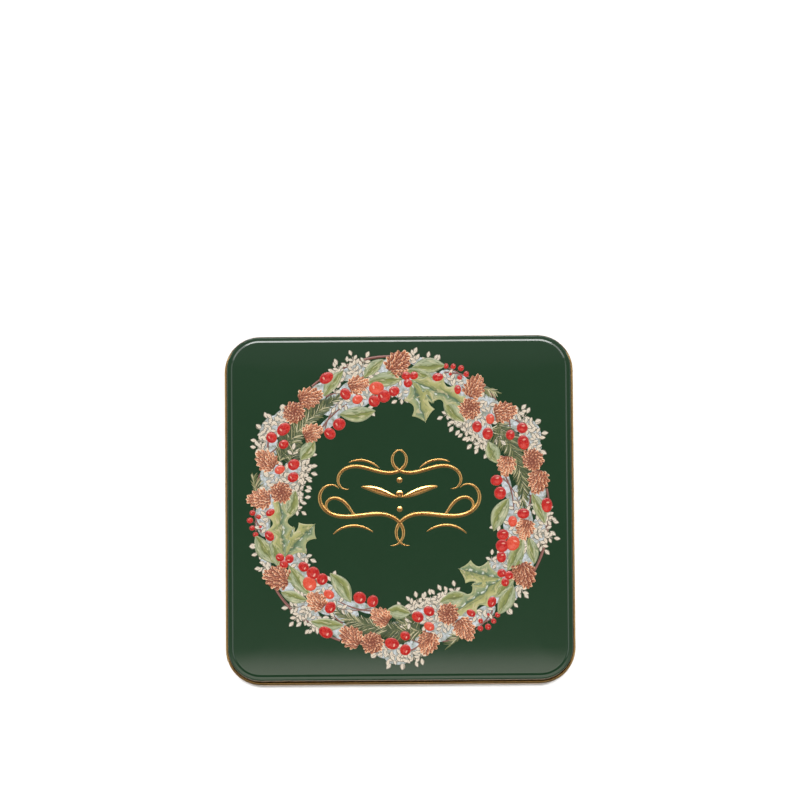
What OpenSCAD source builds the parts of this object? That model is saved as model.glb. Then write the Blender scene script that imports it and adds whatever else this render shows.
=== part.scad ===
// Square cookie tin: a drawn slip lid over a two-part tinplate body, with a moulded tray and an
// embossed paper liner inside. Millimetres, +Z up through the lid, origin at the centre of the
// underside.

/* [Tin] */
// Width across the flat sides of the lid's skirt
tin_w = 190; // [170:1:220]
// Height from the surface it stands on to the lid's panel
tin_h = 60; // [54:1:70]
// Outside corner radius of the lid's skirt
corner_r = 18; // [14:1:24]
// Thickness of the tinplate
sheet = 0.3; // [0.25:0.05:0.35]

/* [Lid] */
// Depth of the lid, from its ledge to the bottom of its curl
skirt_h = 18; // [14:1:22]
// Outside radius of the rolled shoulder
shoulder_r = 0.8; // [0.6:0.1:2.2]
// Distance from the skirt to the step that carries the panel
step_in = 2.7; // [2.5:0.1:4]
// Height of that step
step_h = 0.7; // [0.5:0.1:1]
// Centreline radius of the curled hem
hem_r = 0.9; // [0.7:0.05:1]
// Radial gap between the lid's skirt and the body
lid_gap = 0.35; // [0.3:0.05:0.5]

/* [Wreath] */
// Distance of the wreath's centre above the lid's centre
wreath_up = 1.4; // [0:0.2:4]
// Height of the leaves above the panel
relief_h = 0.4; // [0.3:0.1:0.6]

/* [Body] */
// Height of the double seam round the base
seam_h = 3; // [2.6:0.1:3.6]
// Height of the base panel above the surface the tin stands on
panel_z = 3.3; // [3:0.1:4]
// Centreline radius of the inward curl round the mouth
mouth_r = 0.8; // [0.6:0.05:1]

/* [Tray] */
// Wall thickness of the moulded tray
tray_t = 0.5; // [0.4:0.1:0.8]
// Compartments along each side of the tray
cells = 2; // [1:1:3]
// Rib between neighbouring compartments
rib_w = 3; // [2:0.5:6]
// Corner radius of a compartment
cell_r = 8; // [4:1:14]
// Thickness of the paper liner over the tray, over its embossing
liner_t = 1.6; // [1:0.2:2]

/* [Hidden] */
$fn = 96;
eps = 0.01;
// Slack between the layers of the double seam
seam_gap = 0.05;
// Vertical clearance between pieces that rest on each other
rest_gap = 0.15;
// Heights of the lid's ledge and of the mouth under it
ledge_z = tin_h - step_h;
mouth_z = ledge_z - sheet - rest_gap;
// Outside width and corner radius of the body wall
body_w = tin_w - 2 * (sheet + lid_gap);
body_r = corner_r - sheet - lid_gap;
// Clear width of the mouth inside its curl
mouth_w = body_w - 2 * (sheet + 2 * mouth_r);
// The tray passes through the mouth, and its rim stands just under the liner
tray_w = mouth_w - 1.4;
tray_r = body_r - 3;
tray_z = panel_z + rest_gap;
tray_top = mouth_z - liner_t - 1.7;
tray_lip_h = 5;
cell_pitch = (tray_w - 2 * rib_w) / cells;
cell_w = cell_pitch - rib_w;
liner_w = tray_w - 1.5;
// The strip where the ends of the body wall are locked together
lap_w = 5;
// The stiffening bead round the base panel
bead_in = 12;
bead_w = 6;
bead_h = 0.8;
// The wreath is one group of shapes, three times round. Each shape stands at
// [degrees clockwise from the top, radius], then its own sizes.
// Pine cones: [.., .., radius]
CONES = [[0, 78.5, 6], [33, 77, 5.5], [36.4, 65.5, 6], [49, 77.5, 5.5],
    [71.5, 77.5, 6], [80.6, 77.5, 5.7], [70, 63, 5], [101, 70.5, 5]];
// Berries: [.., .., radius]
BERRIES = [[3.2, 71.7, 2.3], [6.7, 72.1, 2.3], [4.3, 67.6, 2.3], [17, 73.8, 2.7], [27, 71.4, 2.3],
    [47, 69, 2.6], [45, 61, 2.8], [51, 62.6, 3], [58, 72.3, 2.6], [58.2, 80, 3], [63.6, 76.6, 3.4],
    [76, 55.2, 3], [83.6, 55.8, 3.3], [90.5, 81, 3.4], [94.4, 68.3, 3], [98.7, 63, 2.6],
    [109, 66, 3.8], [106.5, 59, 3], [112.3, 61, 3.3], [117.6, 63, 2.8],
    [18.8, 81, 1.3], [21.5, 82.3, 1.3], [24.5, 83, 1.5], [27.3, 81.3, 1.4]];
// Leaves: [.., .., length, width, turn from the tangent]
LEAVES = [[12.2, 78.4, 17, 8, 15], [92, 76.5, 17, 7, 25], [96, 56.2, 19, 8.5, -19],
    [113.5, 69.2, 18, 8, -2], [109.5, 77, 14, 6.5, 32], [30.3, 60.2, 16, 8, -18],
    [20.6, 65.7, 32, 12, -5], [11, 58.3, 23, 12, -62], [61, 59, 13, 8, -7], [57, 68, 18, 7, -10],
    [76, 68.5, 22, 7, 0]];
// Sprigs of small leaves: [.., .., turn of the middle leaf from the tangent]
SPRIGS = [[6.5, 82, 80], [14.5, 81, 80], [54, 82, 110], [57.8, 84, 100], [61.5, 85, 85],
    [65.5, 83, 65], [96, 82, 90], [100, 80, 75], [104, 82.5, 90], [31, 56, -110], [35, 55.5, -90],
    [40, 55, -95], [45, 54.5, -85], [50, 55, -80], [55, 57, -80], [1.5, 60, -130]];

// The right half of the scroll: [x, y, length, width, turn]
SCROLL = [[19, 21, 30, 3.5, 8], [33, 15, 13, 3, -62], [5, 25, 11, 3, 62], [20, 27, 15, 3, 6],
    [11, 8.5, 20, 4, 18], [22, -4.2, 36, 4, -2], [43, 4, 17, 4, 74], [37, 12, 12, 3, -16],
    [31, 3, 12, 3, 45], [3, -13, 17, 3, -80], [26, -11, 20, 3, -4]];

// ---- Outlines ----

// A square with round corners, centred on the origin.
module rounded_square(w, r) {
    square([w, w - 2 * r], center = true);
    square([w - 2 * r, w], center = true);
    for (x = [-1, 1], y = [-1, 1])
        translate([x * (w / 2 - r), y * (w / 2 - r)]) circle(r);
}

// A slab with round corners, standing on height z.
module slab(w, r, z, h) {
    translate([0, 0, z]) linear_extrude(h) rounded_square(w, r);
}

// Sweeps a profile round a square with round corners. The profile's x runs outward from the
// square's own line and its y is height.
module sweep_square(w, r) {
    for (i = [0 : 3]) rotate(90 * i) {
        translate([w / 2, w / 2 - r, 0]) rotate([90, 0, 0]) linear_extrude(w - 2 * r) children();
        translate([w / 2 - r, w / 2 - r, 0]) rotate_extrude(angle = 90) translate([r, 0]) children();
    }
}

// The upright rectangle from (x0, z0) to (x1, z1), for profiles.
module strip(x0, z0, x1, z1) {
    translate([x0, z0]) square([x1 - x0, z1 - z0]);
}

// Three quarters of a rolled sheet tube. The quarter left out lies towards gap = [x, y] signs.
module curl(centre_r, gap) {
    difference() {
        circle(centre_r + sheet / 2);
        circle(centre_r - sheet / 2);
        translate([gap[0] > 0 ? 0 : -2 * centre_r, gap[1] > 0 ? 0 : -2 * centre_r])
            square(2 * centre_r);
    }
}

// A pointed leaf along x: the overlap of two circles.
module leaf_outline(length, width) {
    arc_r = (length * length + width * width) / (4 * width);
    intersection() {
        translate([0, arc_r - width / 2]) circle(arc_r);
        translate([0, width / 2 - arc_r]) circle(arc_r);
    }
}

// ---- Lid ----

// Skirt, rolled shoulder, ledge and step in one profile, measured from the skirt's outside.
module lid_profile() {
    curl_z = ledge_z - skirt_h + hem_r + sheet / 2;
    strip(-sheet, curl_z, 0, ledge_z - shoulder_r);
    strip(-step_in - sheet, ledge_z - sheet, -shoulder_r, ledge_z);
    strip(-step_in - sheet, ledge_z - sheet, -step_in, tin_h);
    translate([-shoulder_r, ledge_z - shoulder_r]) intersection() {
        difference() {
            circle(shoulder_r);
            circle(shoulder_r - sheet);
        }
        square(shoulder_r);
    }
    translate([hem_r - sheet / 2, curl_z]) curl(hem_r, [-1, 1]);
}

// Puts a shape at its place on the wreath, with its x along the ring and its y outward.
module at_ring(place) {
    rotate(-place[0]) translate([0, place[1], 0]) children();
}

// Three times round the wreath.
module thirds() {
    for (third = [0 : 2]) translate([0, wreath_up, 0]) rotate(120 * third) children();
}

// A sprig seen from above: three small leaves in a fan.
module sprig_outline() {
    for (turn = [-60, 0, 60])
        rotate(turn) translate([turn == 0 ? 3 : 2.4, 0]) leaf_outline(3.4, 1.8);
}

// A pine cone seen from its end, as rings that step up to the middle.
module cone_relief(radius) {
    for (ring = [0 : 2])
        cylinder(r = radius * (1 - 0.3 * ring), h = relief_h * (1.3 + 0.5 * ring));
}

// Leaves and sprigs are the lowest layer, cones the next, and berries stand highest.
module wreath_relief() {
    translate([0, 0, tin_h - eps]) {
        linear_extrude(relief_h) thirds() {
            for (leaf = LEAVES) at_ring(leaf) rotate(leaf[4]) leaf_outline(leaf[2], leaf[3]);
            for (sprig = SPRIGS) at_ring(sprig) rotate(sprig[2]) sprig_outline();
        }
        thirds() for (cone = CONES) at_ring(cone) cone_relief(cone[2]);
        thirds() for (berry = BERRIES) at_ring(berry) cylinder(r = berry[2], h = relief_h * 2);
    }
}

// The scroll in the middle: slim leaves strung into a symmetrical flourish.
module scroll_relief() {
    translate([0, 0, tin_h - eps]) linear_extrude(relief_h) for (hand = [0, 1]) mirror([hand, 0])
        for (slip = SCROLL)
            translate([slip[0], slip[1]]) rotate(slip[4]) leaf_outline(slip[2], slip[3]);
}

module lid() {
    color("darkgreen") union() {
        sweep_square(tin_w, corner_r) lid_profile();
        slab(tin_w - 2 * step_in, corner_r - step_in, tin_h - sheet, sheet);
        wreath_relief();
        scroll_relief();
    }
}

// ---- Body ----

// Wall with its mouth curl and the hook of the double seam, measured from the wall's outside.
module wall_profile() {
    curl_z = mouth_z - mouth_r - sheet / 2;
    hook_x = 2 * seam_gap + sheet;
    strip(-sheet, sheet + seam_gap, 0, curl_z);
    strip(-sheet, sheet + seam_gap, hook_x + sheet, 2 * sheet + seam_gap);
    strip(hook_x, sheet + seam_gap, hook_x + sheet, seam_h - sheet - seam_gap);
    translate([-mouth_r - sheet / 2, curl_z]) curl(mouth_r, [1, -1]);
}

module body_wall() {
    lap_top = mouth_z - 2 * mouth_r - 2 * sheet;
    color("goldenrod") union() {
        sweep_square(body_w, body_r) wall_profile();
        translate([-lap_w / 2, body_w / 2 - 2 * sheet, panel_z + 1])
            cube([lap_w, 1.5 * sheet, lap_top - panel_z - 1]);
    }
}

// The base panel's rim, which folds down inside the wall, out under its hook and back over it.
module base_profile() {
    outer_x = 3 * (seam_gap + sheet);
    inner_x = -2 * sheet - seam_gap;
    strip(inner_x, 0, inner_x + sheet, panel_z);
    strip(inner_x, 0, outer_x, sheet);
    strip(outer_x - sheet, 0, outer_x, seam_h);
    strip(seam_gap, seam_h - sheet, outer_x, seam_h);
    strip(seam_gap, 3 * sheet, seam_gap + sheet, seam_h);
}

module base_panel() {
    inner_in = 2 * sheet + seam_gap;
    bead_out_w = body_w - 2 * bead_in;
    bead_r = body_r - bead_in + 6;
    color("darkgoldenrod") union() {
        sweep_square(body_w, body_r) base_profile();
        difference() {
            slab(body_w - 2 * inner_in, body_r - inner_in, panel_z - sheet, sheet);
            difference() {
                slab(bead_out_w, bead_r, panel_z - 1, 2);
                slab(bead_out_w - 2 * bead_w, bead_r - bead_w, panel_z - 1.5, 3);
            }
        }
        base_bead(bead_out_w, bead_r);
    }
}

// A shallow trough pressed into the base panel, open towards the inside of the tin.
module base_bead(w, r) {
    floor_z = panel_z - sheet - bead_h;
    sweep_square(w, r) {
        strip(0, floor_z, sheet, panel_z);
        strip(-bead_w, floor_z, sheet, floor_z + sheet);
        strip(-bead_w - sheet, floor_z, -bead_w, panel_z);
    }
}

// ---- Inside the tin ----

module cell_grid() {
    for (i = [0 : cells - 1], j = [0 : cells - 1])
        translate([(i - (cells - 1) / 2) * cell_pitch, (j - (cells - 1) / 2) * cell_pitch, 0])
            children();
}

module inner_tray() {
    color("saddlebrown") difference() {
        union() {
            slab(tray_w, tray_r, tray_top - tray_t, tray_t);
            difference() {
                slab(tray_w, tray_r, tray_top - tray_lip_h, tray_lip_h);
                slab(tray_w - 2 * tray_t, tray_r - tray_t, tray_top - tray_lip_h - 1, tray_lip_h + 2);
            }
            cell_grid() slab(cell_w + 2 * tray_t, cell_r + tray_t, tray_z, tray_top - tray_z);
        }
        cell_grid() slab(cell_w, cell_r, tray_z + tray_t, tin_h);
    }
}

module paper_liner() {
    color("ivory") slab(liner_w, tray_r - 1, tray_top + rest_gap, liner_t);
}

lid();
body_wall();
base_panel();
inner_tray();
paper_liner();
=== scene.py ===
"""The looks of the square cookie tin, built on its CAD frame. Metres, +Z up through the lid."""

import math
import random

import bmesh
import bpy
from mathutils import Matrix, Vector


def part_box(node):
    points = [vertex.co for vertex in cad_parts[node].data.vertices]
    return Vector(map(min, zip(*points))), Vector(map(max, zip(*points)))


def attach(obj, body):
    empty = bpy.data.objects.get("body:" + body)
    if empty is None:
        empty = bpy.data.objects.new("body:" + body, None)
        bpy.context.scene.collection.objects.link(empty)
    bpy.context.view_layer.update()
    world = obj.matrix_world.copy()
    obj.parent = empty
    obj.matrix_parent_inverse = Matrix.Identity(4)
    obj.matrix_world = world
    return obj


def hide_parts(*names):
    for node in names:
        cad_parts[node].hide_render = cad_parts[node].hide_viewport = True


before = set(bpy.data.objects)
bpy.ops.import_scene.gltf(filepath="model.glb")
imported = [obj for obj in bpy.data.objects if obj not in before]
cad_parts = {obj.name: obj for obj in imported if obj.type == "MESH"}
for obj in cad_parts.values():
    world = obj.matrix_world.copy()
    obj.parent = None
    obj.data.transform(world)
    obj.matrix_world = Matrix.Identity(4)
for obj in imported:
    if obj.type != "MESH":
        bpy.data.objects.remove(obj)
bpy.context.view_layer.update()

# ---- Sizes ----

MM = 0.001
LID_LOW, LID_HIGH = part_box("lid")
TRAY_LOW, TRAY_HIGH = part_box("inner_tray")
LINER_LOW, LINER_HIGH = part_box("paper_liner")

SHEET = 0.3 * MM  # thickness of the tinplate
HEM_R = 0.9 * MM  # centreline radius of the lid's curled hem
SKIRT = LID_HIGH.x - 2 * HEM_R  # half the width over the lid's skirt
CORNER_R = 18 * MM
SHOULDER_R = 0.8 * MM
STEP_IN = 2.6 * MM  # from the skirt to the middle of the step
STEP_W = 1.6 * MM
LEDGE_Z = 59.3 * MM
PANEL_Z = 60.2 * MM  # the panel's flat middle
PANEL_DROP = 0.4 * MM  # how much lower the panel is at its edge
PANEL_ROLL = 17 * MM  # how far in from its edge the panel starts to fall
THIRDS = 3  # the wreath is one group of shapes, three times round


# ---- Colours ----

def rgb(red, green, blue):
    """A screen colour, 0 to 255 each, as the linear colour that shaders use."""
    def linear(level):
        level /= 255
        return level / 12.92 if level <= 0.04045 else ((level + 0.055) / 1.055) ** 2.4
    return (linear(red), linear(green), linear(blue), 1)


class Nodes:
    """A node tree, with one short method for each kind of node that it uses."""

    def __init__(self, tree):
        self.tree = tree

    def node(self, kind, links=(), **settings):
        """Adds a node. links gives its inputs, in order, as sockets or plain values."""
        made = self.tree.nodes.new(kind)
        for key, value in settings.items():
            setattr(made, key, value)
        for place, value in enumerate(links):
            self.put(value, made.inputs[place])
        return made

    def put(self, value, socket):
        if isinstance(value, bpy.types.NodeSocket):
            self.tree.links.new(value, socket)
        elif value is not None:
            socket.default_value = value

    def feed(self, node, **values):
        """Gives a node's inputs by their names, in small letters and with _ for a space."""
        for name, value in values.items():
            self.put(value, node.inputs[name.replace("_", " ").title()])
        return node

    def math(self, operation, a, b=0.0, c=None):
        return self.node("ShaderNodeMath", (a, b, c), operation=operation).outputs[0]

    def plus(self, a, b):
        return self.math("ADD", a, b)

    def minus(self, a, b):
        return self.math("SUBTRACT", a, b)

    def times(self, a, b):
        return self.math("MULTIPLY", a, b)

    def remap(self, value, low, high, to_low=0.0, to_high=1.0, **settings):
        """to_low where value is at most low, to_high from high on, and even between."""
        links = (value, low, high, to_low, to_high)
        return self.node("ShaderNodeMapRange", links, **settings).outputs[0]

    def ramp(self, factor, *stops):
        """A colour ramp. Each stop is (place, colour)."""
        made = self.node("ShaderNodeValToRGB", (factor,))
        elements = made.color_ramp.elements
        while len(elements) < len(stops):
            elements.new(0.5)
        for element, (place, colour) in zip(elements, stops):
            element.position = place
            element.color = colour
        return made.outputs[0]


class Paint(Nodes):
    """The nodes of one material."""

    def __init__(self, name, **shader_values):
        self.material = bpy.data.materials.new(name)
        self.material.use_nodes = True
        super().__init__(self.material.node_tree)
        self.shader = self.tree.nodes["Principled BSDF"]
        self.feed(self.shader, **shader_values)
        self.object_point = self.node("ShaderNodeTexCoord").outputs["Object"]

    def apart(self, value, middle=0.5):
        """How far value is from middle."""
        return self.math("ABSOLUTE", self.minus(value, middle))

    def hypotenuse(self, x, y):
        return self.math("POWER", self.plus(self.times(x, x), self.times(y, y)), 0.5)

    def noise(self, per_mm, detail, roughness=0.5, stretch=None):
        """Noise with about per_mm features to the millimetre, from 0 to 1."""
        point = self.object_point
        if stretch:
            scaled = self.node("ShaderNodeVectorMath", (point, stretch), operation="MULTIPLY")
            point = scaled.outputs[0]
        return self.noise_at(point, per_mm / MM, detail, roughness)

    def noise_at(self, point, scale, detail, roughness=0.5, distortion=0.0):
        made = self.feed(self.node("ShaderNodeTexNoise"), vector=point, scale=scale,
                         detail=detail, roughness=roughness, distortion=distortion)
        return made.outputs[0]

    def smooth(self, value, low, high):
        """0 where value is under low, 1 where it is over high, and smooth between."""
        return self.remap(value, low, high, interpolation_type="SMOOTHSTEP")

    def band(self, value, middle, half):
        """1 at middle, falling smoothly to 0 at half away from it."""
        return self.minus(1.0, self.smooth(self.apart(value, middle), 0.0, half))

    def mix(self, factor, a, b):
        made = self.feed(self.node("ShaderNodeMix", data_type="RGBA"), factor=factor)
        self.put(a, made.inputs[6])
        self.put(b, made.inputs[7])
        return made.outputs[2]

    def over(self, colour, mask, share, top):
        """The colour with top laid over it, by share where mask is 1."""
        return self.mix(self.times(mask, share), colour, top)

    def along_across(self):
        """The two coordinates that a relief shape is painted by."""
        uv = self.node("ShaderNodeUVMap", uv_map="paint").outputs[0]
        parts = self.node("ShaderNodeSeparateXYZ", (uv,)).outputs
        return parts[0], parts[1]

    def strokes(self, along, across, long_count, wide_count):
        """Brush strokes that follow a leaf: noise drawn out along it, from 0 to 1. The tint sets
        each leaf's own place in the noise."""
        place = self.node("ShaderNodeCombineXYZ", (
            self.times(along, long_count),
            self.times(across, wide_count),
            self.times(self.tint(), 40.0),
        ))
        return self.noise_at(place.outputs[0], 1.0, 3.0, distortion=0.6)

    def swayed(self, along, across, count, reach):
        """across, moved to and fro by loose strokes, so that a leaf's halves meet unevenly."""
        sway = self.minus(self.strokes(along, across, count, 2.0), 0.5)
        return self.plus(across, self.times(sway, reach))

    def tint(self):
        """A number from 0 to 1 that differs from shape to shape."""
        return self.node("ShaderNodeAttribute", attribute_name="tint").outputs["Fac"]

    def bump(self, height, depth_mm, strength):
        made = self.feed(self.node("ShaderNodeBump"), strength=strength,
                         distance=depth_mm * MM, height=height)
        self.feed(self.shader, normal=made.outputs[0])

    def done(self, colour, roughness=None):
        self.feed(self.shader, base_color=colour, roughness=roughness)
        return self.material


def print_gloss(paint, colour, low=0.3, high=0.42):
    """Finishes a printed material: satin lacquer over it, with a fine unevenness."""
    roughness = paint.math("MULTIPLY_ADD", paint.noise(0.9, 3), high - low, low)
    paint.bump(paint.noise(1.4, 2), 0.012, 0.5)
    return paint.done(colour, roughness)


def green_print():
    paint = Paint("green_print")
    colour = paint.mix(paint.noise(0.05, 3), rgb(22, 53, 29), rgb(26, 57, 33))
    speck = paint.smooth(paint.noise(3.0, 2), 0.35, 0.75)
    colour = paint.over(colour, speck, 0.22, rgb(18, 45, 26))
    return print_gloss(paint, colour, 0.12, 0.18)


def gold_lacquer(name="gold_lacquer", light=rgb(190, 156, 100), dark=rgb(164, 130, 78)):
    """Lacquered tinplate: brushed a little along its length, with faint mottling."""
    paint = Paint(name, metallic=1.0)
    mottle = paint.noise(0.12, 4, 0.6)
    grain = paint.noise(1.2, 3, 0.6, stretch=(0.06, 0.06, 1.0))
    colour = paint.over(paint.mix(mottle, dark, light), grain, 0.3, rgb(212, 182, 128))
    paint.bump(grain, 0.004, 0.3)
    return paint.done(colour, paint.math("MULTIPLY_ADD", grain, 0.12, 0.14))


def inner_lacquer():
    return gold_lacquer("inner_lacquer", rgb(216, 196, 150), rgb(196, 174, 124))


def base_lacquer():
    return gold_lacquer("base_lacquer", rgb(212, 176, 116), rgb(186, 146, 88))


def pale_rim(paint, colour, across, rim):
    """A printed shape's thin pale border, outside its own edge."""
    return paint.mix(paint.smooth(paint.apart(across), 0.49, 0.53), colour, rim)


def leaf_print():
    """Watercolour leaf: an olive half and a sage half, a rib, and loose light and dark strokes."""
    paint = Paint("leaf_print")
    along, across = paint.along_across()
    bent = paint.swayed(along, across, 3.0, 0.45)
    colour = paint.ramp(
        bent,
        (0.05, rgb(178, 182, 142)),
        (0.25, rgb(138, 144, 84)),
        (0.45, rgb(120, 126, 58)),
        (0.55, rgb(142, 152, 104)),
        (0.75, rgb(168, 174, 142)),
        (0.95, rgb(144, 154, 116)),
    )
    dark = paint.smooth(paint.strokes(along, across, 5.0, 9.0), 0.5, 0.64)
    colour = paint.over(colour, dark, 0.8, rgb(96, 108, 62))
    pale = paint.smooth(paint.strokes(across, along, 7.0, 4.0), 0.54, 0.66)
    colour = paint.over(colour, pale, 0.7, rgb(206, 200, 162))
    colour = paint.over(colour, paint.band(bent, 0.5, 0.06), 0.7, rgb(84, 92, 44))
    edge = paint.smooth(paint.apart(across), 0.4, 0.5)
    colour = paint.over(colour, edge, 0.5, rgb(120, 132, 96))
    return print_gloss(paint, pale_rim(paint, colour, across, rgb(148, 158, 128)))


def holly_print():
    """Watercolour holly: olive above the rib, sea green below it, with pale strokes."""
    paint = Paint("holly_print")
    along, across = paint.along_across()
    bent = paint.swayed(along, across, 4.0, 0.4)
    colour = paint.ramp(
        bent,
        (0.05, rgb(168, 168, 116)),
        (0.22, rgb(140, 152, 112)),
        (0.36, rgb(104, 126, 92)),
        (0.45, rgb(66, 92, 68)),
        (0.53, rgb(140, 144, 88)),
        (0.75, rgb(166, 164, 102)),
        (0.95, rgb(188, 184, 130)),
    )
    dark = paint.smooth(paint.strokes(along, across, 9.0, 9.0), 0.52, 0.64)
    colour = paint.over(colour, dark, 0.6, rgb(90, 110, 72))
    pale = paint.smooth(paint.strokes(across, along, 6.0, 9.0), 0.55, 0.66)
    colour = paint.over(colour, pale, 0.75, rgb(198, 186, 144))
    glint = paint.times(paint.band(bent, 0.38, 0.08), paint.smooth(paint.noise(0.4, 1), 0.5, 0.62))
    colour = paint.mix(glint, colour, rgb(214, 218, 206))
    edge = paint.smooth(paint.apart(across), 0.42, 0.5)
    colour = paint.over(colour, edge, 0.6, rgb(186, 192, 140))
    return print_gloss(paint, pale_rim(paint, colour, across, rgb(158, 166, 118)))


def berry_print():
    """A berry in a few strokes of red, with a pale window of light and a pink rim."""
    paint = Paint("berry_print")
    x, y = paint.along_across()
    out = paint.times(paint.hypotenuse(paint.minus(x, 0.5), paint.minus(y, 0.5)), 2.0)
    blot = paint.noise(0.7, 2)
    above = paint.smooth(paint.plus(y, paint.times(blot, 0.5)), 0.55, 0.9)
    colour = paint.mix(above, rgb(198, 42, 30), rgb(180, 20, 16))
    colour = paint.mix(paint.smooth(blot, 0.5, 0.62), colour, rgb(178, 18, 22))
    colour = paint.over(colour, paint.smooth(out, 0.78, 1.0), 0.3, rgb(222, 92, 76))
    light_berry = paint.mix(blot, rgb(208, 62, 40), rgb(226, 92, 66))
    colour = paint.mix(paint.smooth(paint.tint(), 0.7, 0.8), colour, light_berry)
    spot = paint.hypotenuse(
        paint.times(paint.minus(x, 0.6), 0.8),
        paint.times(paint.minus(y, 0.68), 1.9),
    )
    lit = paint.minus(1.0, paint.smooth(spot, 0.09, 0.14))
    colour = paint.over(colour, lit, 0.65, rgb(240, 184, 160))
    colour = paint.mix(paint.smooth(out, 1.0, 1.08), colour, rgb(214, 150, 138))
    return print_gloss(paint, colour, 0.22, 0.32)


def scale_print():
    """One scale of a pine cone: dark root, orange-brown middle and a thin pale lip."""
    paint = Paint("scale_print")
    along, across = paint.along_across()
    colour = paint.ramp(
        along,
        (0.0, rgb(92, 42, 28)),
        (0.35, rgb(152, 82, 52)),
        (0.6, rgb(204, 120, 78)),
        (0.85, rgb(224, 150, 108)),
    )
    colour = paint.over(colour, paint.smooth(paint.tint(), 0.45, 0.6), 0.6, rgb(112, 54, 36))
    toward_tip = paint.plus(paint.apart(across, 0.42), paint.times(along, 0.42))
    pale = paint.mix(paint.smooth(paint.tint(), 0.2, 0.9), rgb(255, 226, 190), rgb(216, 150, 112))
    colour = paint.mix(paint.smooth(toward_tip, 0.58, 0.68), colour, pale)
    groove = paint.times(paint.band(across, 0.5, 0.14), paint.band(along, 0.5, 0.4))
    colour = paint.over(colour, groove, 0.8, rgb(92, 42, 28))
    return print_gloss(paint, colour)


def heart_print():
    """The dark heart of a pine cone, behind its scales."""
    paint = Paint("cone_print")
    return print_gloss(paint, paint.mix(paint.noise(1.0, 3), rgb(96, 42, 28), rgb(146, 72, 48)))


def leaflet_print():
    """A small dried leaf: pale pink-beige, a grey-brown outline and a soft rib."""
    paint = Paint("leaflet_print")
    along, across = paint.along_across()
    colour = paint.mix(paint.noise(0.6, 2), rgb(240, 228, 208), rgb(218, 200, 178))
    colour = paint.over(colour, paint.tint(), 0.3, rgb(200, 206, 196))
    rib = paint.times(paint.band(across, 0.5, 0.16), paint.band(along, 0.42, 0.4))
    colour = paint.over(colour, rib, 0.7, rgb(176, 144, 118))
    edge = paint.smooth(paint.apart(across), 0.26, 0.38)
    ends = paint.smooth(paint.apart(along), 0.36, 0.48)
    colour = paint.mix(paint.math("MAXIMUM", edge, ends), colour, rgb(122, 114, 98))
    return print_gloss(paint, colour)


def needle_print():
    """Fir needles, from dark green through olive to a few straw-coloured ones."""
    paint = Paint("needle_print")
    colour = paint.ramp(
        paint.tint(),
        (0.0, rgb(32, 52, 32)),
        (0.4, rgb(62, 78, 44)),
        (0.66, rgb(98, 106, 62)),
        (0.84, rgb(172, 164, 118)),
        (0.97, rgb(226, 214, 180)),
    )
    along = paint.along_across()[0]
    return print_gloss(paint, paint.over(colour, along, 0.25, rgb(104, 110, 66)))


def twig_print():
    """Red-brown bark with a lit side."""
    paint = Paint("twig_print")
    colour = paint.mix(paint.noise(0.5, 3), rgb(84, 42, 36), rgb(132, 78, 68))
    lit = paint.band(paint.along_across()[1], 0.7, 0.25)
    return print_gloss(paint, paint.over(colour, lit, 0.5, rgb(196, 150, 136)))


def wash_print():
    """Watercolour wash that shows between the leaves: grey-green with pale blue pools."""
    paint = Paint("wash_print")
    colour = paint.ramp(
        paint.noise(0.42, 4, 0.55),
        (0.3, rgb(118, 130, 114)),
        (0.42, rgb(160, 168, 160)),
        (0.52, rgb(186, 194, 196)),
        (0.66, rgb(212, 218, 224)),
    )
    line = paint.band(paint.noise(0.8, 2), 0.5, 0.035)
    return print_gloss(paint, paint.over(colour, line, 0.6, rgb(120, 106, 96)))


def fir_shade_print():
    """The dark green behind the needles."""
    paint = Paint("fir_shade_print")
    return print_gloss(paint, paint.mix(paint.noise(0.5, 3), rgb(42, 54, 34), rgb(70, 80, 48)))


def scroll_gold_painted_reflection():
    """Hot-stamped gold with a painted reflection: bright shoulders stand for reflected light, and
    a deep amber middle stands for the dark room reflected in each raised stroke.
    """
    paint = Paint("scroll_gold_painted_reflection", metallic=1.0)
    across = paint.along_across()[1]
    # painted reflection: deep amber across the stroke's middle, bright gold at its shoulders
    edge = paint.smooth(paint.apart(across), 0.16, 0.4)
    colour = paint.mix(edge, rgb(122, 62, 16), rgb(250, 204, 124))
    colour = paint.over(colour, paint.noise(0.2, 2), 0.3, rgb(255, 220, 146))
    return paint.done(colour, paint.math("MULTIPLY_ADD", paint.noise(0.2, 2), 0.08, 0.24))


def tray_plastic():
    """Thermoformed chocolate-brown sheet, with the faint grain of its mould."""
    paint = Paint("tray_plastic")
    colour = paint.mix(paint.noise(0.08, 3), rgb(74, 44, 32), rgb(88, 54, 40))
    paint.bump(paint.noise(3.0, 2), 0.02, 0.3)
    return paint.done(colour, paint.math("MULTIPLY_ADD", paint.noise(0.6, 3), 0.16, 0.22))


def liner_paper():
    """Soft white paper with short fibres."""
    paint = Paint("liner_paper")
    fibre = paint.noise(1.6, 4, 0.65, stretch=(1.0, 0.3, 1.0))
    colour = paint.mix(fibre, rgb(226, 220, 206), rgb(246, 242, 232))
    paint.bump(fibre, 0.05, 0.5)
    return paint.done(colour, paint.math("MULTIPLY_ADD", fibre, 0.15, 0.75))


# ---- Mesh helpers ----

def add_object(name, data):
    made = bpy.data.objects.new(name, data)
    bpy.context.scene.collection.objects.link(made)
    return made


def mesh_object(name, points, faces, materials, body):
    """A mesh from its points and faces, shaded smooth, riding on a body of the frame."""
    mesh = bpy.data.meshes.new(name)
    mesh.from_pydata(points, [], faces)
    mesh.polygons.foreach_set("use_smooth", [True] * len(mesh.polygons))
    for material in materials:
        mesh.materials.append(material)
    made = add_object(name, mesh)
    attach(made, body)
    return made


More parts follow.
